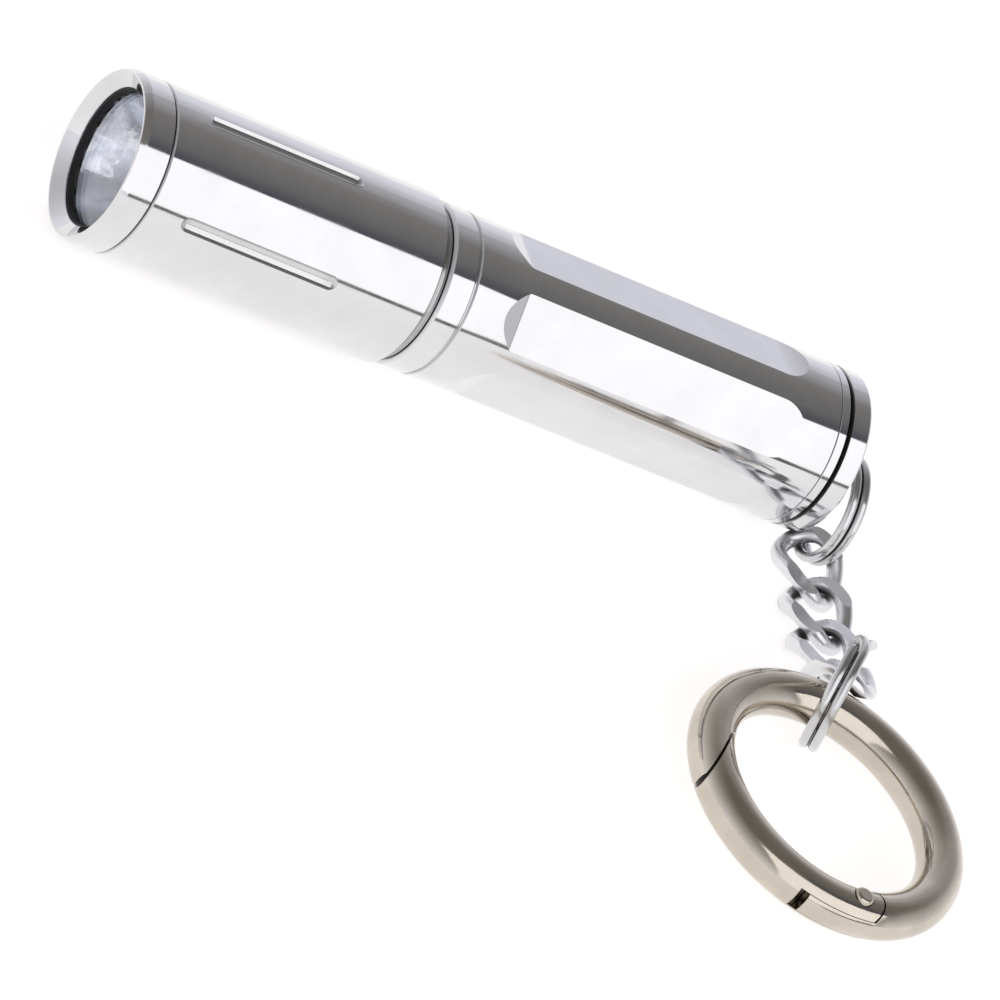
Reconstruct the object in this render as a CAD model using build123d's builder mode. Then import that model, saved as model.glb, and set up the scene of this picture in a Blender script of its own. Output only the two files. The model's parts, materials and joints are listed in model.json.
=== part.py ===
from build123d import *
import os
from math import atan, cos, degrees, radians, sin, sqrt

os.makedirs("parts", exist_ok=True)

# A keychain flashlight lying on its side. X runs along the light from the lens end to
# the tail, Z is up, and the origin is the centre of the bezel's front face.
# All sizes are in millimetres and all angles in degrees.

# Lens end and head
HEAD_RADIUS = 7.0
BEZEL_END = 2.7
SEAM = 0.05
LENS_OPENING = 5.6
LENS_SEAT = 5.9
LENS_FRONT = 1.5
LENS_BACK = 2.1
LENS_RADIUS = 5.65
LIP_DEPTH = 0.8
RIM_INNER = 6.58
RIM_OUTER = 6.72
RIM_CONE = 0.6
SEAL_START = 0.95
SEAL_LIP = 5.48
SEAL_RADIUS = 5.88
SEAM_CHAMFER = 0.14
BROKEN_EDGE = 0.04
BEZEL_SKIRT_END = 5.3
BEZEL_THREAD = 6.35
THREAD_GAP = 0.05
HEAD_END = 27.35
HEAD_FRONT_BORE = 5.95
HEAD_BORE = 6.05
HEAD_COUNTERBORE = 6.35
COUNTERBORE_START = 23.7
MOUTH_EDGE = 0.12
SLOT_START = 5.65
SLOT_END = 19.6
SLOT_WIDTH = 1.3
SLOT_DEPTH = 0.38
SLOT_INSET = 0.65
SLOT_COUNT = 5
SLOT_FIRST = 92.7

# Reflector and light engine
REFLECTOR_RIM = 5.5
REFLECTOR_HOLE = 1.6
REFLECTOR_FRONT = 2.12
REFLECTOR_FLANGE = 5.85
REFLECTOR_FLANGE_END = 3.1
REFLECTOR_NECK = 3.2
REFLECTOR_BULGE = (7.7, 4.9)
REFLECTOR_BACK = 8.3
INSULATOR_RADIUS = 4.5
BOARD_FRONT = 9.0
BOARD_BACK = 9.8
BOARD_RADIUS = 5.15
EMITTER_SIDE = 3.45
EMITTER_HEIGHT = 0.6
DOME_RADIUS = 1.3
LEAD_OFFSET = 3.4
LEAD_RADIUS = 0.35
LEAD_HOLE = 0.6
PILL_RADIUS = 6.03
PILL_CUP = 5.3
PILL_FLOOR = 10.9
PILL_END = 15.5
DRIVER_FRONT = 14.0
DRIVER_BACK = 15.0
DRIVER_RADIUS = 5.25
INDUCTOR_SIDE = 3.0
INDUCTOR_HEIGHT = 2.0
INDUCTOR_OFFSET = 2.6
CONTROLLER_SIZE = (3.0, 2.4)
CONTROLLER_HEIGHT = 0.9
CONTROLLER_OFFSET = -2.4
CONTACT_RADIUS = 1.6
RETAINER_BORE = 4.3
RETAINER_RADIUS = 5.95

# Body tube
BODY_RADIUS = 6.725
NECK_START = 16.3
NECK_RADIUS = 6.3
THREAD_PITCH = 0.75
THREAD_COUNT = 7
THREAD_START = 17.4
THREAD_CREST = 6.0
THREAD_ROOT = 5.75
THREAD_END = 24.3
NECK_SEAL_START = 25.0
NECK_SEAL_END = 26.0
NECK_END = 27.2
COVE_RADIUS = 6.2
COVE_START = 27.8
BODY_START = 28.4
BODY_END = 64.95
RING_GROOVE_START = 30.4
RING_GROOVE_WIDTH = 0.4
RING_GROOVE_DEPTH = 0.15
BATTERY_BORE = 5.35
FLAT_COUNT = 6
FLAT_FIRST = 142.0
FLAT_RADIUS = 6.3
FLAT_START = 35.6
FLAT_END = 59.6
FLAT_TOP = 7.2
FLAT_RUN_OUT = 6.8
FLAT_FOOT = 1.46
FLAT_FOOT_X = 0.36
FLAT_FOOT_RISE = 0.045
FLAT_LEAD_IN = 3.5

# AAA battery
BATTERY_START = 16.9
BATTERY_END = 61.4
BATTERY_RADIUS = 5.25
CAN_RADIUS = 5.15
CAN_BORE = 4.9
CAN_WALL = 0.3
CAN_START = 18.1
CRIMP_RADIUS = 4.7
CORE_START = 19.5
SLEEVE_START = 18.2
BUTTON_RADIUS = 1.9
BUTTON_EDGE = 0.2
BUTTON_HEIGHT = 1.2
CAP_PLATE = 3.6
CAP_PLATE_END = 18.5
GROMMET_START = 18.15

# Tail cap and lug
CAP_START = 65.0
CAP_END = 67.85
SPIGOT_START = 62.3
SPIGOT_RADIUS = 5.7
SPIGOT_BORE = 4.6
TAIL_SEAL_START = 63.3
TAIL_SEAL_END = 64.2
TAIL_SEAL_DEPTH = 0.5
CAP_GROOVE_START = 65.7
CAP_GROOVE_END = 66.16
CAP_GROOVE_DEPTH = 0.45
CAP_EDGE = 0.2
CAP_FLOOR = 65.3
LUG_ANGLE = 31.4
LUG_HOLE_X = 69.84
LUG_HOLE = 1.15
LUG_THICKNESS = 1.8
LUG_WIDTH = 5.4
LUG_END = 71.3

# Split rings: two turns of round wire
SPLIT_WIRE = 0.41
SPLIT_RISE = 0.84
SPLIT_STEP = 70.0
TAIL_RING_RADIUS = 4.3
END_RING_RADIUS = 4.5

# Curb chain
LINK_PITCH = 4.95
LINK_LENGTH = 3.25
LINK_WIDTH = 2.35
LINK_TWIST = -0.85
LINK_WIRE = 0.675
LINK_FLAT = 1.02
# How the chain lies: where links 1 and 2 meet, then each link's slope, heading and roll
CHAIN_JOINT = Vector(69.366, -9.889, -5.925)
LINK_SLOPES = [-7.1, 0.8, 6.3, 35.5]
LINK_HEADINGS = [4.4, -4.4, -7.4, -10.2]
LINK_ROLLS = [8.4, 11.8, 10.9, 15.3]

# Spring-gate ring, with angles counted about its own axis
SNAP_RADIUS = 10.6
SNAP_WIRE = 1.84
PIN_ANGLE = -87.0
HOOK_ANGLE = 191.5
GATE_ANGLE = -201.0
GATE_BLANK_END = -70.0
FINGER_ANGLE = -109.0
POCKET_ANGLE = -113.0
PIN_RADIUS = 0.6
PIN_HEAD = 0.8
PIN_SEAT = 1.36
PIN_HALF = 1.78
PIN_HEAD_HEIGHT = 0.4
PIN_DOME = 2.15
TONGUE_HALF = 0.95
TONGUE_DISC = 1.5
SLOT_HALF = 1.0
KNUCKLE_RADIUS = 1.9
SHOULDER_RADIUS = 2.05
COIL_POCKET = 1.05
COIL_POCKET_HALF = 0.6
LAP_ANGLE = 28.0
LAP_GAP = 0.22


def half_outline(*points):
    """A closed outline of straight lines, given as (X, radius) points."""
    with BuildSketch(Plane.XZ) as outline:
        with BuildLine():
            Polyline(*points, close=True)
        make_face()
    return outline.sketch


def seal_outline(x, radius, width, height):
    """The rounded section of a rubber ring."""
    with BuildSketch(Plane.XZ) as outline:
        with Locations((x, radius)):
            RectangleRounded(width, height, 0.3 * height)
    return outline.sketch


def outward(angle):
    """The direction across the light at an angle about X, counted from Y to Z."""
    return Vector(0, cos(radians(angle)), sin(radians(angle)))


def unit(x, y, z):
    return Vector(x, y, z).normalized()


# Head -----------------------------------------------------------------------------

with BuildPart() as bezel_ring:
    revolve(
        half_outline(
            (LIP_DEPTH, LENS_OPENING),
            (0, RIM_INNER),
            (0, RIM_OUTER),
            (BROKEN_EDGE, RIM_OUTER + BROKEN_EDGE),
            (0.8 * RIM_CONE, HEAD_RADIUS - BROKEN_EDGE),
            (RIM_CONE, HEAD_RADIUS),
            (BEZEL_END - SEAM_CHAMFER, HEAD_RADIUS),
            (BEZEL_END, HEAD_RADIUS - SEAM_CHAMFER),
            (BEZEL_END, BEZEL_THREAD),
            (BEZEL_SKIRT_END, BEZEL_THREAD),
            (BEZEL_SKIRT_END, LENS_SEAT),
            (SEAL_START, LENS_SEAT),
            (SEAL_START, LENS_OPENING),
        ),
        axis=Axis.X,
    )
bezel_ring.part.label = "bezel_ring"
export_step(bezel_ring.part, "parts/bezel_ring.step")

# A black seal round the front and the edge of the lens
with BuildPart() as lens_gasket:
    revolve(
        half_outline(
            (SEAL_START, SEAL_LIP),
            (SEAL_START, SEAL_RADIUS),
            (LENS_BACK, SEAL_RADIUS),
            (LENS_BACK, LENS_RADIUS),
            (LENS_FRONT, LENS_RADIUS),
            (LENS_FRONT, SEAL_LIP),
        ),
        axis=Axis.X,
    )
lens_gasket.part.label = "lens_gasket"
export_step(lens_gasket.part, "parts/lens_gasket.step")

with BuildPart() as lens:
    revolve(
        half_outline(
            (LENS_FRONT, 0),
            (LENS_FRONT, LENS_RADIUS),
            (LENS_BACK, LENS_RADIUS),
            (LENS_BACK, 0),
        ),
        axis=Axis.X,
    )
lens.part.label = "lens"
export_step(lens.part, "parts/lens.step")

# The bowl is a parabola: the two ends of a Bezier curve and where their tangents meet.
bowl_depth = REFLECTOR_BACK - REFLECTOR_FRONT
focal = (REFLECTOR_RIM**2 - REFLECTOR_HOLE**2) / (4 * bowl_depth)
bowl_mid = (REFLECTOR_RIM + REFLECTOR_HOLE) / 2
bowl_mid_x = REFLECTOR_FRONT + (REFLECTOR_RIM - bowl_mid) * REFLECTOR_RIM / (2 * focal)
with BuildPart() as reflector:
    with BuildSketch(Plane.XZ):
        with BuildLine():
            Bezier(
                (REFLECTOR_FRONT, REFLECTOR_RIM),
                (bowl_mid_x, bowl_mid),
                (REFLECTOR_BACK, REFLECTOR_HOLE),
            )
            Line((REFLECTOR_BACK, REFLECTOR_HOLE), (REFLECTOR_BACK, REFLECTOR_NECK))
            Bezier(
                (REFLECTOR_BACK, REFLECTOR_NECK),
                REFLECTOR_BULGE,
                (REFLECTOR_FLANGE_END, REFLECTOR_FLANGE),
            )
            Polyline(
                (REFLECTOR_FLANGE_END, REFLECTOR_FLANGE),
                (REFLECTOR_FRONT, REFLECTOR_FLANGE),
                (REFLECTOR_FRONT, REFLECTOR_RIM),
            )
        make_face()
    revolve(axis=Axis.X)
reflector.part.label = "reflector"
export_step(reflector.part, "parts/reflector.step")

# The slots are cut with a ball-nosed tool: its radius, and how far out its centre runs
slot_ball = (SLOT_WIDTH**2 / 4 + SLOT_DEPTH**2) / (2 * SLOT_DEPTH)
slot_axis = HEAD_RADIUS - SLOT_DEPTH + slot_ball
with BuildPart() as head_shell:
    revolve(
        half_outline(
            (BEZEL_END + SEAM, BEZEL_THREAD + THREAD_GAP),
            (BEZEL_END + SEAM, HEAD_RADIUS - SEAM_CHAMFER),
            (BEZEL_END + SEAM + SEAM_CHAMFER, HEAD_RADIUS),
            (HEAD_END - MOUTH_EDGE, HEAD_RADIUS),
            (HEAD_END, HEAD_RADIUS - MOUTH_EDGE),
            (HEAD_END, HEAD_COUNTERBORE + MOUTH_EDGE),
            (HEAD_END - MOUTH_EDGE, HEAD_COUNTERBORE),
            (COUNTERBORE_START, HEAD_COUNTERBORE),
            (COUNTERBORE_START, HEAD_BORE),
            (BOARD_FRONT, HEAD_BORE),
            (BOARD_FRONT, HEAD_FRONT_BORE),
            (BEZEL_SKIRT_END + SEAM, HEAD_FRONT_BORE),
            (BEZEL_SKIRT_END + SEAM, BEZEL_THREAD + THREAD_GAP),
        ),
        axis=Axis.X,
    )
    slot_run = SLOT_END - SLOT_START - 2 * SLOT_INSET
    for k in range(SLOT_COUNT):
        across = outward(SLOT_FIRST + 360 / SLOT_COUNT * k)
        start = Vector(SLOT_START + SLOT_INSET, 0, 0) + across * slot_axis
        with BuildSketch(Plane(start, x_dir=across, z_dir=(1, 0, 0))):
            Circle(slot_ball)
        extrude(amount=slot_run, mode=Mode.SUBTRACT)
        finish = start + Vector(slot_run, 0, 0)
        with Locations(start, finish):
            Sphere(slot_ball, mode=Mode.SUBTRACT)
head_shell.part.label = "head_shell"
export_step(head_shell.part, "parts/head_shell.step")

with BuildPart() as emitter_insulator:
    with BuildSketch(Plane.YZ.offset(REFLECTOR_BACK)):
        Circle(INSULATOR_RADIUS)
        Rectangle(EMITTER_SIDE + 0.1, EMITTER_SIDE + 0.1, mode=Mode.SUBTRACT)
    extrude(amount=BOARD_FRONT - REFLECTOR_BACK)
emitter_insulator.part.label = "emitter_insulator"
export_step(emitter_insulator.part, "parts/emitter_insulator.step")

with BuildPart() as led_board:
    with BuildSketch(Plane.YZ.offset(BOARD_FRONT)):
        Circle(BOARD_RADIUS)
    extrude(amount=BOARD_BACK - BOARD_FRONT)
led_board.part.label = "led_board"
export_step(led_board.part, "parts/led_board.step")

with BuildPart() as led_emitter:
    with BuildSketch(Plane.YZ.offset(BOARD_FRONT - EMITTER_HEIGHT)):
        Rectangle(EMITTER_SIDE, EMITTER_SIDE)
    extrude(amount=EMITTER_HEIGHT)
led_emitter.part.label = "led_emitter"
export_step(led_emitter.part, "parts/led_emitter.step")

dome_base = BOARD_FRONT - EMITTER_HEIGHT
with BuildPart() as emitter_dome:
    with BuildSketch(Plane.XZ):
        with BuildLine():
            Line((dome_base, 0), (dome_base, DOME_RADIUS))
            RadiusArc((dome_base, DOME_RADIUS), (dome_base - DOME_RADIUS, 0), -DOME_RADIUS)
            Line((dome_base - DOME_RADIUS, 0), (dome_base, 0))
        make_face()
    revolve(axis=Axis.X)
emitter_dome.part.label = "emitter_dome"
export_step(emitter_dome.part, "parts/emitter_dome.step")

with BuildPart() as pill:
    revolve(
        half_outline(
            (BOARD_BACK, 0),
            (BOARD_BACK, BOARD_RADIUS + THREAD_GAP),
            (BOARD_FRONT, BOARD_RADIUS + THREAD_GAP),
            (BOARD_FRONT, PILL_RADIUS),
            (PILL_END, PILL_RADIUS),
            (PILL_END, PILL_CUP),
            (PILL_FLOOR, PILL_CUP),
            (PILL_FLOOR, 0),
        ),
        axis=Axis.X,
    )
    with BuildSketch(Plane.YZ.offset(BOARD_BACK)):
        with Locations((LEAD_OFFSET, 0), (-LEAD_OFFSET, 0)):
            Circle(LEAD_HOLE)
    extrude(amount=PILL_FLOOR - BOARD_BACK, mode=Mode.SUBTRACT)
pill.part.label = "pill"
export_step(pill.part, "parts/pill.step")

with BuildPart() as led_leads:
    with BuildSketch(Plane.YZ.offset(BOARD_BACK)):
        with Locations((LEAD_OFFSET, 0), (-LEAD_OFFSET, 0)):
            Circle(LEAD_RADIUS)
    extrude(amount=DRIVER_FRONT - BOARD_BACK)
led_leads.part.label = "led_leads"
export_step(led_leads.part, "parts/led_leads.step")

with BuildPart() as driver_board:
    with BuildSketch(Plane.YZ.offset(DRIVER_FRONT)):
        Circle(DRIVER_RADIUS)
    extrude(amount=DRIVER_BACK - DRIVER_FRONT)
driver_board.part.label = "driver_board"
export_step(driver_board.part, "parts/driver_board.step")

with BuildPart() as driver_inductor:
    with BuildSketch(Plane.YZ.offset(DRIVER_FRONT - INDUCTOR_HEIGHT)):
        with Locations((0, INDUCTOR_OFFSET)):
            RectangleRounded(INDUCTOR_SIDE, INDUCTOR_SIDE, 0.2 * INDUCTOR_SIDE)
    extrude(amount=INDUCTOR_HEIGHT)
driver_inductor.part.label = "driver_inductor"
export_step(driver_inductor.part, "parts/driver_inductor.step")

with BuildPart() as driver_controller:
    with BuildSketch(Plane.YZ.offset(DRIVER_FRONT - CONTROLLER_HEIGHT)):
        with Locations((0, CONTROLLER_OFFSET)):
            Rectangle(*CONTROLLER_SIZE)
    extrude(amount=CONTROLLER_HEIGHT)
driver_controller.part.label = "driver_controller"
export_step(driver_controller.part, "parts/driver_controller.step")

with BuildPart() as driver_contact:
    with BuildSketch(Plane.YZ.offset(DRIVER_BACK)):
        Circle(CONTACT_RADIUS)
    extrude(amount=BATTERY_START - 0.02 - DRIVER_BACK)
    chamfer(driver_contact.edges().sort_by(Axis.X)[-1], CONTACT_RADIUS / 8)
driver_contact.part.label = "driver_contact"
export_step(driver_contact.part, "parts/driver_contact.step")

with BuildPart() as driver_retainer:
    revolve(
        half_outline(
            (DRIVER_BACK, RETAINER_BORE),
            (DRIVER_BACK, PILL_CUP - 0.02),
            (PILL_END, PILL_CUP - 0.02),
            (PILL_END, RETAINER_RADIUS),
            (NECK_START - 0.27, RETAINER_RADIUS),
            (NECK_START - 0.27, RETAINER_BORE),
        ),
        axis=Axis.X,
    )
driver_retainer.part.label = "driver_retainer"
export_step(driver_retainer.part, "parts/driver_retainer.step")

# Body -----------------------------------------------------------------------------

thread_outline = []
for k in range(THREAD_COUNT):
    root = THREAD_START + THREAD_PITCH * k
    thread_outline += [
        (root, THREAD_ROOT),
        (root + 0.3 * THREAD_PITCH, THREAD_CREST),
        (root + 0.5 * THREAD_PITCH, THREAD_CREST),
        (root + 0.8 * THREAD_PITCH, THREAD_ROOT),
    ]

ring_groove_floor = BODY_RADIUS - RING_GROOVE_DEPTH
foot_start = (FLAT_START - FLAT_FOOT_X, FLAT_RADIUS + FLAT_FOOT_RISE)
flat_exit = FLAT_END + sqrt(FLAT_RUN_OUT**2 - (FLAT_RUN_OUT + FLAT_RADIUS - FLAT_TOP) ** 2)
with BuildPart() as body_tube:
    revolve(
        half_outline(
            (NECK_START, BATTERY_BORE),
            (NECK_START, THREAD_ROOT - 0.1),
            (NECK_START + 0.1, THREAD_ROOT),
            *thread_outline,
            (THREAD_END - 0.1, THREAD_ROOT),
            (THREAD_END, NECK_RADIUS),
            (NECK_SEAL_START, NECK_RADIUS),
            (NECK_SEAL_START, THREAD_ROOT),
            (NECK_SEAL_END, THREAD_ROOT),
            (NECK_SEAL_END, NECK_RADIUS),
            (NECK_END - 0.1, NECK_RADIUS),
            (NECK_END, COVE_RADIUS),
            (COVE_START, COVE_RADIUS),
            (COVE_START + 0.2, COVE_RADIUS + 0.04),
            (COVE_START + 0.33, COVE_RADIUS + 0.13),
            (COVE_START + 0.4, COVE_RADIUS + 0.28),
            (BODY_START, BODY_RADIUS - BROKEN_EDGE),
            (BODY_START + BROKEN_EDGE, BODY_RADIUS),
            (RING_GROOVE_START, BODY_RADIUS),
            (RING_GROOVE_START + 0.35 * RING_GROOVE_WIDTH, ring_groove_floor),
            (RING_GROOVE_START + 0.65 * RING_GROOVE_WIDTH, ring_groove_floor),
            (RING_GROOVE_START + RING_GROOVE_WIDTH, BODY_RADIUS),
            (BODY_END - BROKEN_EDGE, BODY_RADIUS),
            (BODY_END, BODY_RADIUS - BROKEN_EDGE),
            (BODY_END, SPIGOT_RADIUS + THREAD_GAP),
            (SPIGOT_START - THREAD_GAP, SPIGOT_RADIUS + THREAD_GAP),
            (SPIGOT_START - THREAD_GAP, BATTERY_BORE),
        ),
        axis=Axis.X,
    )
    for k in range(FLAT_COUNT):
        across = outward(FLAT_FIRST + 360 / FLAT_COUNT * k)
        side = Vector(1, 0, 0).cross(across)
        with BuildSketch(Plane((0, 0, 0), x_dir=(1, 0, 0), z_dir=side)):
            with BuildLine():
                Line((FLAT_START, FLAT_RADIUS), (FLAT_END, FLAT_RADIUS))
                RadiusArc((FLAT_END, FLAT_RADIUS), (flat_exit, FLAT_TOP), -FLAT_RUN_OUT)
                Polyline(
                    (flat_exit, FLAT_TOP),
                    (FLAT_START - FLAT_LEAD_IN, FLAT_TOP),
                    foot_start,
                )
                RadiusArc(foot_start, (FLAT_START, FLAT_RADIUS), -FLAT_FOOT)
            make_face()
        extrude(amount=BODY_RADIUS / 2, both=True, mode=Mode.SUBTRACT)
body_tube.part.label = "body_tube"
export_step(body_tube.part, "parts/body_tube.step")

with BuildPart() as neck_oring:
    neck_seal_middle = (NECK_SEAL_START + NECK_SEAL_END) / 2
    revolve(seal_outline(neck_seal_middle, 6.035, 0.96, 0.55), axis=Axis.X)
neck_oring.part.label = "neck_oring"
export_step(neck_oring.part, "parts/neck_oring.step")

# Battery --------------------------------------------------------------------------

with BuildPart() as battery_can:
    revolve(
        half_outline(
            (CAN_START, CRIMP_RADIUS),
            (CAN_START, CAN_RADIUS),
            (BATTERY_END, CAN_RADIUS),
            (BATTERY_END, 0),
            (BATTERY_END - CAN_WALL, 0),
            (BATTERY_END - CAN_WALL, CAN_BORE),
            (CAN_START + CAN_WALL, CAN_BORE),
            (CAN_START + CAN_WALL, CRIMP_RADIUS),
        ),
        axis=Axis.X,
    )
battery_can.part.label = "battery_can"
export_step(battery_can.part, "parts/battery_can.step")

with BuildPart() as battery_core:
    revolve(
        half_outline(
            (CORE_START, 0),
            (CORE_START, CAN_BORE),
            (BATTERY_END - CAN_WALL, CAN_BORE),
            (BATTERY_END - CAN_WALL, 0),
        ),
        axis=Axis.X,
    )
battery_core.part.label = "battery_core"
export_step(battery_core.part, "parts/battery_core.step")

with BuildPart() as battery_sleeve:
    revolve(
        half_outline(
            (SLEEVE_START, CAN_RADIUS),
            (SLEEVE_START, BATTERY_RADIUS),
            (BATTERY_END - 0.1, BATTERY_RADIUS),
            (BATTERY_END - 0.1, CAN_RADIUS),
        ),
        axis=Axis.X,
    )
battery_sleeve.part.label = "battery_sleeve"
export_step(battery_sleeve.part, "parts/battery_sleeve.step")

with BuildPart() as battery_cap:
    revolve(
        half_outline(
            (BATTERY_START, 0),
            (BATTERY_START, BUTTON_RADIUS - BUTTON_EDGE),
            (BATTERY_START + BUTTON_EDGE, BUTTON_RADIUS),
            (BATTERY_START + BUTTON_HEIGHT, BUTTON_RADIUS),
            (BATTERY_START + BUTTON_HEIGHT, CAP_PLATE),
            (CAP_PLATE_END, CAP_PLATE),
            (CAP_PLATE_END, 0),
        ),
        axis=Axis.X,
    )
battery_cap.part.label = "battery_cap"
export_step(battery_cap.part, "parts/battery_cap.step")

with BuildPart() as battery_grommet:
    revolve(
        half_outline(
            (GROMMET_START, CAP_PLATE),
            (GROMMET_START, CRIMP_RADIUS),
            (CAN_START + CAN_WALL, CRIMP_RADIUS),
            (CAN_START + CAN_WALL, CAN_BORE),
            (CORE_START, CAN_BORE),
            (CORE_START, 0),
            (CAP_PLATE_END, 0),
            (CAP_PLATE_END, CAP_PLATE),
        ),
        axis=Axis.X,
    )
battery_grommet.part.label = "battery_grommet"
export_step(battery_grommet.part, "parts/battery_grommet.step")

# Tail -----------------------------------------------------------------------------

LUG_PLANE = Plane((0, 0, 0), x_dir=(1, 0, 0), z_dir=outward(LUG_ANGLE + 90))
LUG_ROOT = CAP_END - 0.6
with BuildPart() as lug:
    with BuildSketch(LUG_PLANE):
        with BuildLine():
            Polyline(
                (LUG_END - LUG_WIDTH / 2, LUG_WIDTH / 2),
                (LUG_ROOT, LUG_WIDTH / 2),
                (LUG_ROOT, -LUG_WIDTH / 2),
                (LUG_END - LUG_WIDTH / 2, -LUG_WIDTH / 2),
            )
            ThreePointArc(
                (LUG_END - LUG_WIDTH / 2, -LUG_WIDTH / 2),
                (LUG_END, 0),
                (LUG_END - LUG_WIDTH / 2, LUG_WIDTH / 2),
            )
        make_face()
    extrude(amount=LUG_THICKNESS / 2, both=True)
    fillet(lug.faces().filter_by(LUG_PLANE).edges(), 0.3)

with BuildPart() as tail_cap:
    revolve(
        half_outline(
            (SPIGOT_START, SPIGOT_BORE),
            (SPIGOT_START, SPIGOT_RADIUS),
            (TAIL_SEAL_START, SPIGOT_RADIUS),
            (TAIL_SEAL_START, SPIGOT_RADIUS - TAIL_SEAL_DEPTH),
            (TAIL_SEAL_END, SPIGOT_RADIUS - TAIL_SEAL_DEPTH),
            (TAIL_SEAL_END, SPIGOT_RADIUS),
            (CAP_START, SPIGOT_RADIUS),
            (CAP_START, BODY_RADIUS - BROKEN_EDGE),
            (CAP_START + BROKEN_EDGE, BODY_RADIUS),
            (CAP_GROOVE_START, BODY_RADIUS),
            (CAP_GROOVE_START + 0.04, BODY_RADIUS - CAP_GROOVE_DEPTH),
            (CAP_GROOVE_END - 0.2, BODY_RADIUS - CAP_GROOVE_DEPTH),
            (CAP_GROOVE_END, BODY_RADIUS),
            (CAP_END - 0.9 * CAP_EDGE, BODY_RADIUS),
            (CAP_END - 0.25 * CAP_EDGE, BODY_RADIUS - 0.3 * CAP_EDGE),
            (CAP_END, BODY_RADIUS - CAP_EDGE),
            (CAP_END, 0),
            (CAP_FLOOR, 0),
            (CAP_FLOOR, SPIGOT_BORE),
        ),
        axis=Axis.X,
    )
    add(lug.part)
    with BuildSketch(LUG_PLANE):
        with Locations((LUG_HOLE_X, 0)):
            Circle(LUG_HOLE)
    extrude(amount=LUG_THICKNESS, both=True, mode=Mode.SUBTRACT)
tail_cap.part.label = "tail_cap"
export_step(tail_cap.part, "parts/tail_cap.step")

with BuildPart() as tail_oring:
    tail_seal_middle = (TAIL_SEAL_START + TAIL_SEAL_END) / 2
    revolve(seal_outline(tail_seal_middle, 5.475, 0.86, 0.53), axis=Axis.X)
tail_oring.part.label = "tail_oring"
export_step(tail_oring.part, "parts/tail_oring.step")

SPRING_WIRE = 0.25
SPRING_TURNS = 4
SPRING_LARGE = 4.2
SPRING_SMALL = 3.0
spring_start = BATTERY_END + SPRING_WIRE
spring_length = CAP_FLOOR - SPRING_WIRE - spring_start
with BuildPart() as tail_spring:
    with BuildLine() as spring_path:
        Helix(
            pitch=spring_length / SPRING_TURNS,
            height=spring_length,
            radius=SPRING_LARGE,
            center=(spring_start, 0, 0),
            direction=(1, 0, 0),
            cone_angle=-degrees(atan((SPRING_LARGE - SPRING_SMALL) / spring_length)),
        )
    with BuildSketch(Plane(spring_path.line @ 0, z_dir=spring_path.line % 0)):
        Circle(SPRING_WIRE)
    sweep(path=spring_path.line)
tail_spring.part.label = "tail_spring"
export_step(tail_spring.part, "parts/tail_spring.step")

# Round wire -----------------------------------------------------------------------


def around(frame, radius, angle, lift=0):
    """A point on a circle about a frame's own Z axis."""
    turn = radians(angle)
    return frame.from_local_coords(Vector(radius * cos(turn), radius * sin(turn), lift))


def wire_plane(frame, radius, angle, lift=0):
    """The cross-section plane of a ring's wire, facing along the wire."""
    start = around(frame, radius, angle, lift)
    along = around(frame, 1, angle + 90) - frame.origin
    return Plane(start, x_dir=frame.z_dir, z_dir=along)


def two_arcs(start, start_way, end, end_way):
    """Two arcs that join smoothly between two points with given directions."""
    chord = end - start
    ways = start_way + end_way
    spread = 2 * (1 - start_way.dot(end_way))
    root = sqrt(chord.dot(ways) ** 2 + spread * chord.dot(chord))
    reach = (root - chord.dot(ways)) / spread
    middle = (start + end + (start_way - end_way) * reach) * 0.5
    TangentArc(start, middle, tangent=start_way)
    TangentArc(end, middle, tangent=end_way * -1)


def bent_wire(arcs, wire):
    """Round wire along a smooth chain of arcs."""
    with BuildPart() as bent:
        for arc in arcs:
            start, along = arc @ 0, arc % 0
            hub = arc.arc_center
            turning = (start - hub).cross(along).normalized()
            with BuildSketch(Plane(start, x_dir=turning, z_dir=along)):
                Circle(wire)
            revolve(
                axis=Axis(hub, turning),
                revolution_arc=degrees(arc.length / arc.radius),
            )
    return bent.part


# Split rings ----------------------------------------------------------------------


def step_point(frame, radius, first, lift, share):
    """Where the wire is, and which way it points, in its step to the next turn."""
    angle = first + SPLIT_STEP * share
    rise = SPLIT_RISE * share * share * (3 - 2 * share)
    slope = SPLIT_RISE * 6 * share * (1 - share)
    level_way = around(frame, 1, angle + 90) - frame.origin
    way = level_way * radius * radians(SPLIT_STEP) + frame.z_dir * slope
    return around(frame, radius, angle, lift + rise), way.normalized()


def split_ring(frame, radius, end_share):
    """Two turns of round wire side by side, and the part of a step that ends them."""
    level = 360 - SPLIT_STEP
    low = -SPLIT_RISE / 2
    with BuildPart() as ring:
        for lift in (low, low + SPLIT_RISE):
            with BuildSketch(wire_plane(frame, radius, 0, lift)):
                Circle(SPLIT_WIRE)
            revolve(axis=Axis(frame.origin, frame.z_dir), revolution_arc=level)
        for lift, shares in ((low, (0, 0.5, 1)), (low + SPLIT_RISE, (0, end_share))):
            stops = [step_point(frame, radius, level, lift, share) for share in shares]
            with BuildLine() as path:
                for start, end in zip(stops, stops[1:]):
                    two_arcs(*start, *end)
            add(bent_wire(path.edges(), SPLIT_WIRE))
    return ring.part


TAIL_RING = Plane(
    (69.66, -3.62, -2.2),
    x_dir=outward(330),
    z_dir=unit(0.997, -0.063, 0.037),
)
with BuildPart() as split_ring_tail:
    add(split_ring(TAIL_RING, TAIL_RING_RADIUS, 0.12))
split_ring_tail.part.label = "split_ring_tail"
export_step(split_ring_tail.part, "parts/split_ring_tail.step")

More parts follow.
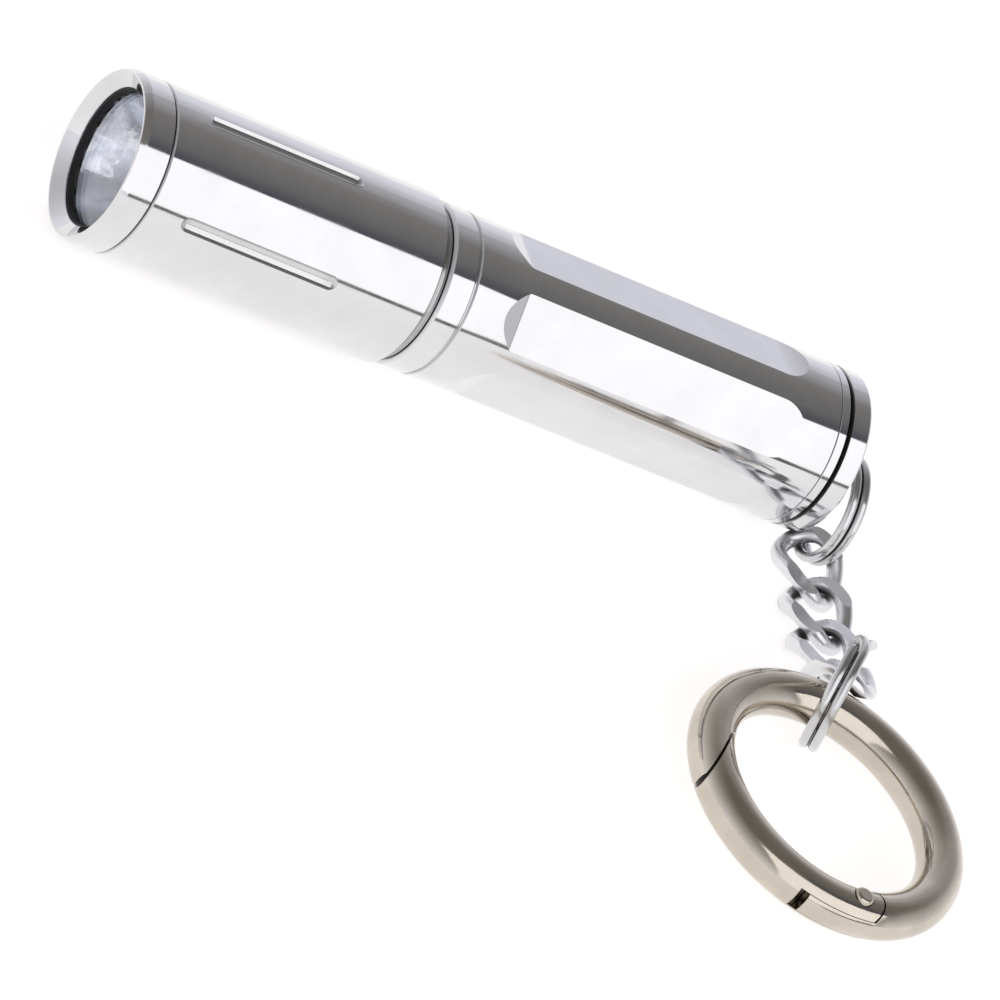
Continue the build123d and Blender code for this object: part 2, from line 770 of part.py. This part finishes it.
END_RING_NORMAL = unit(0.855, -0.473, 0.213)
END_RING_ACROSS = unit(0.484, 0.875, 0)
END_RING_UP = END_RING_NORMAL.cross(END_RING_ACROSS)
END_RING_FIRST = 98.0
END_RING = Plane(
    (65.623, -26.0, -2.187),
    x_dir=END_RING_ACROSS * cos(radians(END_RING_FIRST))
    + END_RING_UP * sin(radians(END_RING_FIRST)),
    z_dir=END_RING_NORMAL,
)
with BuildPart() as split_ring_end:
    add(split_ring(END_RING, END_RING_RADIUS, 0.45))
split_ring_end.part.label = "split_ring_end"
export_step(split_ring_end.part, "parts/split_ring_end.step")

# Curb chain -----------------------------------------------------------------------


def link_direction(slope, heading):
    """Which way a link points, away from the light."""
    s, h = radians(slope), radians(heading)
    return Vector(sin(h) * cos(s), -cos(h) * cos(s), sin(s))


def link_frames():
    """Each link's own frame: X along it, Z out of its filed face."""
    directions = [link_direction(*pair) for pair in zip(LINK_SLOPES, LINK_HEADINGS)]
    joint = CHAIN_JOINT - directions[0] * LINK_PITCH
    frames = []
    for along, roll in zip(directions, LINK_ROLLS):
        middle = joint + along * (LINK_PITCH / 2)
        level = (Vector(0, 0, 1) - along * along.Z).normalized()
        face = level.rotate(Axis((0, 0, 0), along), roll)
        frames.append(Plane(middle, x_dir=along, z_dir=face))
        joint = joint + along * LINK_PITCH
    return frames


def link_stop(frame, angle):
    """A point on the twisted oval that a link's wire follows, and its direction."""
    t = radians(angle)
    place = Vector(LINK_LENGTH * cos(t), LINK_WIDTH * sin(t), LINK_TWIST * sin(2 * t))
    way = Vector(-LINK_LENGTH * sin(t), LINK_WIDTH * cos(t), 2 * LINK_TWIST * cos(2 * t))
    start = frame.from_local_coords(place)
    return start, (frame.from_local_coords(place + way) - start).normalized()


LINK_SPAN = 45
for k, frame in enumerate(link_frames()):
    with BuildPart() as chain_link:
        with BuildLine() as oval:
            for angle in range(0, 360, LINK_SPAN):
                two_arcs(*link_stop(frame, angle), *link_stop(frame, angle + LINK_SPAN))
        add(bent_wire(oval.edges(), LINK_WIRE))
        split(bisect_by=frame.offset(LINK_FLAT), keep=Keep.BOTTOM)
        split(bisect_by=frame.offset(-LINK_FLAT), keep=Keep.TOP)
    chain_link.part.label = f"chain_link_{k + 1}"
    export_step(chain_link.part, f"parts/chain_link_{k + 1}.step")

# Spring-gate ring -----------------------------------------------------------------

SNAP = Plane((64.31, -36.31, -4.603), x_dir=(1, 0, 0), z_dir=unit(-0.0073, -0.052, 0.9986))
SNAP_AXIS = Axis(SNAP.origin, SNAP.z_dir)
HINGE = Plane(around(SNAP, SNAP_RADIUS, PIN_ANGLE), x_dir=SNAP.x_dir, z_dir=SNAP.z_dir)
pin_x = SNAP_RADIUS * cos(radians(PIN_ANGLE))
pin_y = SNAP_RADIUS * sin(radians(PIN_ANGLE))
lap = radians(LAP_ANGLE)
# The lap starts outside the wire, crosses it on a slant, then turns to follow the
# path that the gate's tip swings along.
LAP_OUTER = (-SNAP_RADIUS - 6 * sin(lap), -6 * cos(lap))
LAP_CORNER = (-SNAP_RADIUS + 1.9 * sin(lap), 1.9 * cos(lap))
swing = unit(LAP_CORNER[1] - pin_y, pin_x - LAP_CORNER[0], 0)
LAP_INNER = (LAP_CORNER[0] + 5 * swing.X, LAP_CORNER[1] + 5 * swing.Y)


def lap_side(far_points):
    """The region on one side of the lap, with the lap's own gap added to it."""
    with BuildSketch(SNAP) as region:
        with BuildLine():
            Polyline(LAP_OUTER, LAP_CORNER, LAP_INNER, *far_points, close=True)
        make_face()
        with BuildLine() as seam:
            Polyline(LAP_OUTER, LAP_CORNER, LAP_INNER)
        trace(seam.line, line_width=LAP_GAP)
    return region.sketch


def sector(inner, outer, first, last):
    """A flat ring sector in the snap ring's plane."""
    middle = (first + last) / 2
    reach = outer / cos(radians((last - first) / 2))
    with BuildSketch(SNAP) as region:
        with BuildLine():
            Polyline(
                (0, 0),
                (reach * cos(radians(first)), reach * sin(radians(first))),
                (1.2 * outer * cos(radians(middle)), 1.2 * outer * sin(radians(middle))),
                (reach * cos(radians(last)), reach * sin(radians(last))),
                close=True,
            )
        make_face()
        Circle(outer, mode=Mode.INTERSECT)
        Circle(inner, mode=Mode.SUBTRACT)
    return region.sketch


def ring_stretch(first, last):
    """A stretch of the snap ring's round wire."""
    with BuildPart() as stretch:
        with BuildSketch(wire_plane(SNAP, SNAP_RADIUS, first)):
            Circle(SNAP_WIRE)
        revolve(axis=SNAP_AXIS, revolution_arc=last - first)
    return stretch.part


def disc(radius, half_height):
    """A round blank centred on the hinge pin."""
    with BuildPart() as blank:
        with BuildSketch(HINGE):
            Circle(radius)
        extrude(amount=half_height, both=True)
    return blank.part


with BuildPart() as tongue:
    extrude(sector(8, 13, PIN_ANGLE, -72), amount=TONGUE_HALF, both=True)
    extrude(sector(11.0, 13, FINGER_ANGLE, PIN_ANGLE + 1), amount=TONGUE_HALF, both=True)
    add(disc(TONGUE_DISC, TONGUE_HALF))
    add(ring_stretch(-112, -70), mode=Mode.INTERSECT)

with BuildPart() as snap_ring_frame:
    add(ring_stretch(PIN_ANGLE + 3, HOOK_ANGLE))
    add(disc(SHOULDER_RADIUS, 3), mode=Mode.SUBTRACT)
    extrude(lap_side([(2, 3), (2, -9)]), amount=3, both=True, mode=Mode.SUBTRACT)
    add(tongue.part)
    add(disc(PIN_RADIUS + 0.01, 3), mode=Mode.SUBTRACT)
    add(disc(COIL_POCKET, COIL_POCKET_HALF), mode=Mode.SUBTRACT)
snap_ring_frame.part.label = "snap_ring_frame"
export_step(snap_ring_frame.part, "parts/snap_ring_frame.step")

# What the gate's wire loses past the pin, so that its end is a round knuckle
with BuildPart() as past_knuckle:
    extrude(sector(7, 14, PIN_ANGLE, -65), amount=3, both=True)
    add(disc(KNUCKLE_RADIUS, 4), mode=Mode.SUBTRACT)

# The pin's clearance: its shank through both ears, and a seat for each head
with BuildPart() as pin_clearance:
    add(disc(PIN_RADIUS + 0.04, 3))
    for side in (1, -1):
        with BuildSketch(HINGE.offset(side * PIN_SEAT)):
            Circle(PIN_HEAD + 0.05)
        extrude(amount=side * 2)

# The slot in the gate that the tongue and its finger fill
with BuildPart() as gate_slot:
    add(disc(2.1, SLOT_HALF))
    extrude(
        sector(10.7, 14, POCKET_ANGLE, PIN_ANGLE + 2), amount=SLOT_HALF, both=True
    )

with BuildPart() as gate_wire:
    add(ring_stretch(GATE_ANGLE, GATE_BLANK_END))
    add(past_knuckle.part, mode=Mode.SUBTRACT)
    extrude(lap_side([(-16, 9), (-16, -9)]), amount=3, both=True, mode=Mode.SUBTRACT)
    add(pin_clearance.part, mode=Mode.SUBTRACT)
    add(gate_slot.part, mode=Mode.SUBTRACT)

# Only the gate itself is kept, without the waste left in the pin's holes
with BuildPart() as snap_gate:
    add(gate_wire.solids().sort_by(SortBy.VOLUME)[-1])
snap_gate.part.label = "snap_gate"
export_step(snap_gate.part, "parts/snap_gate.step")

with BuildPart() as gate_pin:
    add(disc(PIN_RADIUS, PIN_HALF))
    with BuildSketch(HINGE.offset(-PIN_HALF)):
        Circle(PIN_HEAD)
    extrude(amount=PIN_HEAD_HEIGHT)
    with BuildSketch(HINGE.offset(PIN_HALF - PIN_HEAD_HEIGHT)):
        Circle(PIN_HEAD)
    extrude(amount=PIN_DOME - PIN_HALF + PIN_HEAD_HEIGHT)
    fillet(gate_pin.edges().sort_by(Axis(HINGE.origin, HINGE.z_dir))[-1], 0.3)
gate_pin.part.label = "gate_pin"
export_step(gate_pin.part, "parts/gate_pin.step")

COIL_WIRE = 0.13
COIL_RADIUS = 0.84
COIL_PITCH = 0.3
COIL_HEIGHT = 0.9
with BuildPart() as gate_spring:
    with BuildLine() as coil_path:
        Helix(
            pitch=COIL_PITCH,
            height=COIL_HEIGHT,
            radius=COIL_RADIUS,
            center=HINGE.offset(-COIL_HEIGHT / 2).origin,
            direction=HINGE.z_dir,
        )
    with BuildSketch(Plane(coil_path.line @ 0, z_dir=coil_path.line % 0)):
        Circle(COIL_WIRE)
    sweep(path=coil_path.line)
gate_spring.part.label = "gate_spring"
export_step(gate_spring.part, "parts/gate_spring.step")
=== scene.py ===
import json
import math

import bpy
from mathutils import Matrix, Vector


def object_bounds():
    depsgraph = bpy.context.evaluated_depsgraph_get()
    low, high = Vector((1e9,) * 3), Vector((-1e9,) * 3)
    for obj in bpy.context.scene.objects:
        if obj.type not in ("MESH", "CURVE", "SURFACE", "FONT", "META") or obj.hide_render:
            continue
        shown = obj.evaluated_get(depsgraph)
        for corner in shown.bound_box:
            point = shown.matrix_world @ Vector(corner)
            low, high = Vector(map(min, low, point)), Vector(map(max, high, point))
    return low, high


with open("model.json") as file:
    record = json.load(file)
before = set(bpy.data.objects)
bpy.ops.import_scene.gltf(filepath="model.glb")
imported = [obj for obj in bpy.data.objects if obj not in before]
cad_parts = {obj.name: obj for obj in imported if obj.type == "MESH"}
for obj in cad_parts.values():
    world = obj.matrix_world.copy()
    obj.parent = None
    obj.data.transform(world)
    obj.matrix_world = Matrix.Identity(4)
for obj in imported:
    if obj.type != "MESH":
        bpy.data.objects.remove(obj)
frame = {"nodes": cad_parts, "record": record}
loaded_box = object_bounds()
MM = 0.001


# Nodes ----------------------------------------------------------------------------


def feed(tree, socket, value):
    """Link another node's output to a socket, or set the socket's own constant."""
    if isinstance(value, bpy.types.NodeSocket):
        tree.links.new(value, socket)
    elif isinstance(value, tuple):
        socket.default_value = (*value, 1)
    else:
        socket.default_value = value


def calculate(tree, operation, first, second):
    """Two values added, multiplied, divided and so on."""
    node = tree.nodes.new("ShaderNodeMath")
    node.operation = operation
    feed(tree, node.inputs[0], first)
    feed(tree, node.inputs[1], second)
    return node.outputs[0]


def blend(tree, share, first, second):
    """The first colour where share is 0, the second where it is 1."""
    node = tree.nodes.new("ShaderNodeMix")
    node.data_type = "RGBA"
    feed(tree, node.inputs["Factor"], share)
    feed(tree, node.inputs[6], first)
    feed(tree, node.inputs[7], second)
    return node.outputs[2]


def spread(tree, value, low, high, start=0.0, end=1.0, way="LINEAR"):
    """A value from start to end becomes one from low to high."""
    node = tree.nodes.new("ShaderNodeMapRange")
    node.interpolation_type = way
    feed(tree, node.inputs["Value"], value)
    feed(tree, node.inputs["From Min"], start)
    feed(tree, node.inputs["From Max"], end)
    feed(tree, node.inputs["To Min"], low)
    feed(tree, node.inputs["To Max"], high)
    return node.outputs["Result"]


# Materials ------------------------------------------------------------------------

# Most noise lies between these two values
NOISE_LOW = 0.35
NOISE_HIGH = 0.65

# Noise features per metre
SMUDGES = 260
MOTTLE = 700
FILM = 500
PEEL = 1500

# Colour and amount of the painted shade laid into grooves and where pieces meet; roughness
# is raised there too
CREVICE_SHADE_COLOUR = (0.045, 0.042, 0.038)
CREVICE_SHADE_SHARE = 0.85
CREVICE_ROUGHNESS = 0.3
# Ambient occlusion at which the painted shade and the extra roughness are full, and at
# which they end
CREVICE_SHADE_FULL = 0.5
CREVICE_SHADE_END = 0.9
# How much the tool's fine lines add to the range of a metal's roughness
LINES_SHARE = 0.25


def new_material(name):
    """An empty material: its tree, its Principled shader and the object's coordinates."""
    material = bpy.data.materials.new(name)
    material.use_nodes = True
    tree = material.node_tree
    place = tree.nodes.new("ShaderNodeTexCoord")
    return material, tree, tree.nodes["Principled BSDF"], place.outputs["Object"]


def noise(tree, where, stretch, detail=3.0):
    """Noise with a number of features per metre, given for X, Y and Z or for all three."""
    mapping = tree.nodes.new("ShaderNodeMapping")
    sizes = stretch if isinstance(stretch, tuple) else (stretch, stretch, stretch)
    mapping.inputs["Scale"].default_value = sizes
    feed(tree, mapping.inputs["Vector"], where)
    node = tree.nodes.new("ShaderNodeTexNoise")
    node.inputs["Scale"].default_value = 1.0
    node.inputs["Detail"].default_value = detail
    node.inputs["Roughness"].default_value = 0.55
    feed(tree, node.inputs["Vector"], mapping.outputs["Vector"])
    return node.outputs["Fac"]


def spread_noise(tree, value, low, high):
    """Noise that becomes a value from low to high."""
    return spread(tree, value, low, high, NOISE_LOW, NOISE_HIGH)


def relief(tree, shader, height, depth):
    """Bumps of a real depth in metres."""
    node = tree.nodes.new("ShaderNodeBump")
    node.inputs["Strength"].default_value = 1.0
    node.inputs["Distance"].default_value = depth
    feed(tree, node.inputs["Height"], height)
    feed(tree, shader.inputs["Normal"], node.outputs["Normal"])


def crevice_shade_mask(tree, reach):
    """Mask of the painted shade: 1 in a groove or where two pieces meet, 0 on open
    surfaces.
    """
    shade = tree.nodes.new("ShaderNodeAmbientOcclusion")
    shade.samples = 8
    shade.inputs["Distance"].default_value = reach
    return spread(tree, shade.outputs["AO"], 1.0, 0.0, CREVICE_SHADE_FULL, CREVICE_SHADE_END)


def metal(name, bright, dull, rough, lines, depth, groove=0.6 * MM):
    """Polished metal: smudges in its gloss and colour, painted shade and raised roughness
    in its grooves and where pieces meet, and fine lines left by the tool. Grooves are
    looked for within the distance given."""
    material, tree, shader, where = new_material(name)
    shader.inputs["Metallic"].default_value = 1.0
    smudges = noise(tree, where, SMUDGES, detail=4.0)
    marks = noise(tree, where, lines, detail=2.0)
    shaded_corners = crevice_shade_mask(tree, groove)

    unshaded = blend(tree, spread(tree, smudges, 0.0, 1.0, 0.3, 0.7), bright, dull)
    # Painted shade: the base colour is darkened in grooves and where pieces meet
    with_painted_shade = blend(tree, spread(tree, shaded_corners, 0.0, CREVICE_SHADE_SHARE), unshaded, CREVICE_SHADE_COLOUR)
    feed(tree, shader.inputs["Base Color"], with_painted_shade)

    low, high = rough
    smudged = spread_noise(tree, smudges, low, high)
    lined = spread_noise(tree, marks, 0.0, LINES_SHARE * (high - low))
    gloss = calculate(tree, "ADD", smudged, lined)
    worn = calculate(tree, "ADD", gloss, spread(tree, shaded_corners, 0.0, CREVICE_ROUGHNESS))
    feed(tree, shader.inputs["Roughness"], worn)
    relief(tree, shader, marks, depth)
    return material


def moulded(name, first, second, rough, grain, depth):
    """Plastic, rubber, board or film: mottled colour and gloss, with a fine grain."""
    material, tree, shader, where = new_material(name)
    shader.inputs["Metallic"].default_value = 0.0
    mottle = noise(tree, where, MOTTLE)
    colour = blend(tree, spread_noise(tree, mottle, 0.0, 1.0), first, second)
    feed(tree, shader.inputs["Base Color"], colour)
    feed(tree, shader.inputs["Roughness"], spread_noise(tree, mottle, *rough))
    relief(tree, shader, noise(tree, where, grain), depth)
    return material


def clear_glass():
    """Glass with a bluish coating and a thin uneven film of dirt."""
    material, tree, shader, where = new_material("clear_glass")
    shader.inputs["Base Color"].default_value = (0.97, 0.98, 1.0, 1)
    shader.inputs["Transmission Weight"].default_value = 1.0
    shader.inputs["IOR"].default_value = 1.5
    shader.inputs["Specular Tint"].default_value = (0.6, 0.72, 1.0, 1)
    film = noise(tree, where, FILM)
    feed(tree, shader.inputs["Roughness"], spread_noise(tree, film, 0.0, 0.035))
    return material


def silvered_bowl():
    """Vacuum metal over a moulded bowl, with its orange-peel ripple."""
    material, tree, shader, where = new_material("silvered")
    shader.inputs["Metallic"].default_value = 1.0
    peel = noise(tree, where, PEEL, detail=2.0)
    share = spread_noise(tree, peel, 0.0, 1.0)
    colour = blend(tree, share, (0.72, 0.74, 0.80), (0.54, 0.57, 0.65))
    feed(tree, shader.inputs["Base Color"], colour)
    feed(tree, shader.inputs["Roughness"], spread_noise(tree, peel, 0.08, 0.18))
    relief(tree, shader, peel, 0.022 * MM)
    return material


# Metals: bright and dull colour, roughness, tool lines per metre, their depth in metres
FINISHES = {
    "polished_steel": metal(
        "polished_steel", (0.74, 0.74, 0.755), (0.69, 0.69, 0.70),
        (0.045, 0.10), (9000, 60, 60), 0.0012 * MM, groove=1.1 * MM,
    ),
    "ring_steel": metal(
        "ring_steel", (0.68, 0.68, 0.69), (0.56, 0.56, 0.57),
        (0.13, 0.24), 2600, 0.004 * MM,
    ),
    "chain_steel": metal(
        "chain_steel", (0.80, 0.81, 0.83), (0.70, 0.71, 0.73),
        (0.16, 0.30), 1500, 0.006 * MM,
    ),
    "nickel": metal(
        "nickel", (0.63, 0.578, 0.50), (0.53, 0.485, 0.42),
        (0.06, 0.15), 900, 0.005 * MM,
    ),
    "brass": metal(
        "brass", (0.82, 0.62, 0.30), (0.70, 0.50, 0.22),
        (0.15, 0.3), (7000, 80, 80), 0.003 * MM,
    ),
    "gold_spring": metal(
        "gold_spring", (0.86, 0.68, 0.34), (0.74, 0.56, 0.26),
        (0.12, 0.25), 2600, 0.003 * MM,
    ),
    "cell_steel": metal(
        "cell_steel", (0.70, 0.70, 0.69), (0.58, 0.58, 0.57),
        (0.15, 0.3), 2600, 0.003 * MM,
    ),
    "clear_glass": clear_glass(),
    "silvered": silvered_bowl(),
}

# The rest: two colours, roughness, grains per metre, their depth in metres
MOULDED = {
    "black_rubber": (
        (0.012, 0.012, 0.013), (0.03, 0.03, 0.032), (0.45, 0.7), 4000, 0.01 * MM,
    ),
    "board_green": (
        (0.02, 0.16, 0.07), (0.03, 0.22, 0.10), (0.25, 0.45), 3000, 0.008 * MM,
    ),
    "board_alu": (
        (0.86, 0.86, 0.84), (0.76, 0.76, 0.74), (0.3, 0.5), 3000, 0.006 * MM,
    ),
    "phosphor": (
        (0.95, 0.83, 0.28), (0.88, 0.74, 0.2), (0.08, 0.2), 2500, 0.006 * MM,
    ),
    "white_plastic": (
        (0.84, 0.84, 0.81), (0.74, 0.74, 0.70), (0.35, 0.55), 3500, 0.008 * MM,
    ),
    "black_plastic": (
        (0.02, 0.02, 0.02), (0.045, 0.045, 0.045), (0.35, 0.6), 3500, 0.01 * MM,
    ),
    "wire_red": (
        (0.55, 0.03, 0.02), (0.42, 0.02, 0.02), (0.3, 0.5), 2500, 0.008 * MM,
    ),
    "cell_sleeve": (
        (0.05, 0.055, 0.065), (0.10, 0.105, 0.12), (0.2, 0.4), 1500, 0.008 * MM,
    ),
    "cell_core": (
        (0.03, 0.03, 0.03), (0.07, 0.07, 0.07), (0.6, 0.8), 3000, 0.01 * MM,
    ),
}
for name, look in MOULDED.items():
    FINISHES[name] = moulded(name, *look)

for part in frame["record"]["subparts"]:
    shown = frame["nodes"][part["node"]]
    for place in shown.material_slots:
        place.material = FINISHES[part["material_slot"]]


# Floor ----------------------------------------------------------------------------

# The floor is just under the object's lowest point
FLOOR_Z = loaded_box[0][2] - 0.02 * MM
FLOOR_SIZE = 14
bpy.ops.mesh.primitive_plane_add(size=FLOOR_SIZE, location=(0.035, -0.015, FLOOR_Z))
floor = bpy.context.object
floor.name = "floor"
paper, _, paper_shader, _ = new_material("floor_paper")
paper_shader.inputs["Base Color"].default_value = (0.42, 0.415, 0.41, 1)
paper_shader.inputs["Roughness"].default_value = 0.9
paper_shader.inputs["Specular IOR Level"].default_value = 0.1
paper_shader.inputs["Emission Color"].default_value = (1.0, 0.985, 0.98, 1)
paper_shader.inputs["Emission Strength"].default_value = 0.82
floor.data.materials.append(paper)


# Studio ---------------------------------------------------------------------------

# How bright the room is on the way round from behind the object (0 degrees), overhead,
# to the front (180 degrees)
ROOM = [
    (0.0, (0.93, 0.93, 1.0)),
    (18.0, (0.82, 0.82, 0.90)),
    (36.0, (0.52, 0.51, 0.54)),
    (62.0, (0.24, 0.23, 0.22)),
    (96.0, (0.17, 0.168, 0.165)),
    (111.0, (0.085, 0.09, 0.11)),
    (180.0, (0.16, 0.155, 0.15)),
]
# That strip of the room lies between two values of the direction's X
ROOM_SPAN = (0.14, 0.76)
ROOM_EDGE = 0.2
# The room's sides are pale low down and dark high up
SIDES_LOW = (0.92, 0.92, 0.97)
SIDES_HIGH = (0.20, 0.19, 0.18)
SIDES_Z = (0.1, 0.9)
# The soft box: from which angle to which, how far it goes along X, and its soft edges
BOX_TURN = (math.radians(113.1), math.radians(175.5))
BOX_TURN_EDGE = 0.012
BOX_SPAN = (-0.45, 0.74)
BOX_EDGE = 0.05
BOX_LIGHT = (1.36, 1.34, 1.35)

world = bpy.data.worlds.new("studio")
bpy.context.scene.world = world
world.use_nodes = True
sky = world.node_tree
background = sky.nodes["Background"]
direction = sky.nodes.new("ShaderNodeTexCoord")
parts = sky.nodes.new("ShaderNodeSeparateXYZ")
feed(sky, parts.inputs["Vector"], direction.outputs["Generated"])
turn = calculate(sky, "ARCTAN2", parts.outputs["Z"], parts.outputs["Y"])


def window(value, span, soft):
    """1 within a span, 0 outside it, with soft edges."""
    low, high = span
    half = soft / 2
    rising = spread(sky, value, 0.0, 1.0, low - half, low + half, "SMOOTHSTEP")
    falling = spread(sky, value, 1.0, 0.0, high - half, high + half, "SMOOTHSTEP")
    return calculate(sky, "MULTIPLY", rising, falling)


ramp = sky.nodes.new("ShaderNodeValToRGB")
feed(sky, ramp.inputs["Fac"], calculate(sky, "DIVIDE", turn, math.pi))
stops = ramp.color_ramp.elements
while len(stops) < len(ROOM):
    stops.new(0.5)
for stop, (angle, colour) in zip(stops, ROOM):
    stop.position = angle / 180
    stop.color = (*colour, 1)

sides = blend(
    sky,
    spread(sky, parts.outputs["Z"], 0.0, 1.0, *SIDES_Z),
    SIDES_LOW,
    SIDES_HIGH,
)
strip = window(parts.outputs["X"], ROOM_SPAN, ROOM_EDGE)
room = blend(sky, strip, sides, ramp.outputs["Color"])
soft_box = calculate(
    sky,
    "MULTIPLY",
    window(turn, BOX_TURN, BOX_TURN_EDGE),
    window(parts.outputs["X"], BOX_SPAN, BOX_EDGE),
)
feed(sky, background.inputs["Color"], blend(sky, soft_box, room, BOX_LIGHT))


# Camera ---------------------------------------------------------------------------

LENS = 305.28
SENSOR = 36
camera = bpy.data.objects.new("camera", bpy.data.cameras.new("camera"))
bpy.context.collection.objects.link(camera)
camera.data.sensor_width = SENSOR
camera.data.lens = LENS
camera.data.clip_start = 0.05
camera.data.clip_end = 50
# The columns are the camera's own X, Y and Z and its position in metres
camera.matrix_world = Matrix(
    (
        (0.81954, -0.32646, -0.47093, -0.266296),
        (-0.13365, 0.69028, -0.71109, -0.474434),
        (0.55722, 0.64571, 0.52209, 0.332235),
        (0, 0, 0, 1),
    )
)
bpy.context.scene.camera = camera
bpy.context.scene.view_settings.view_transform = "Standard"
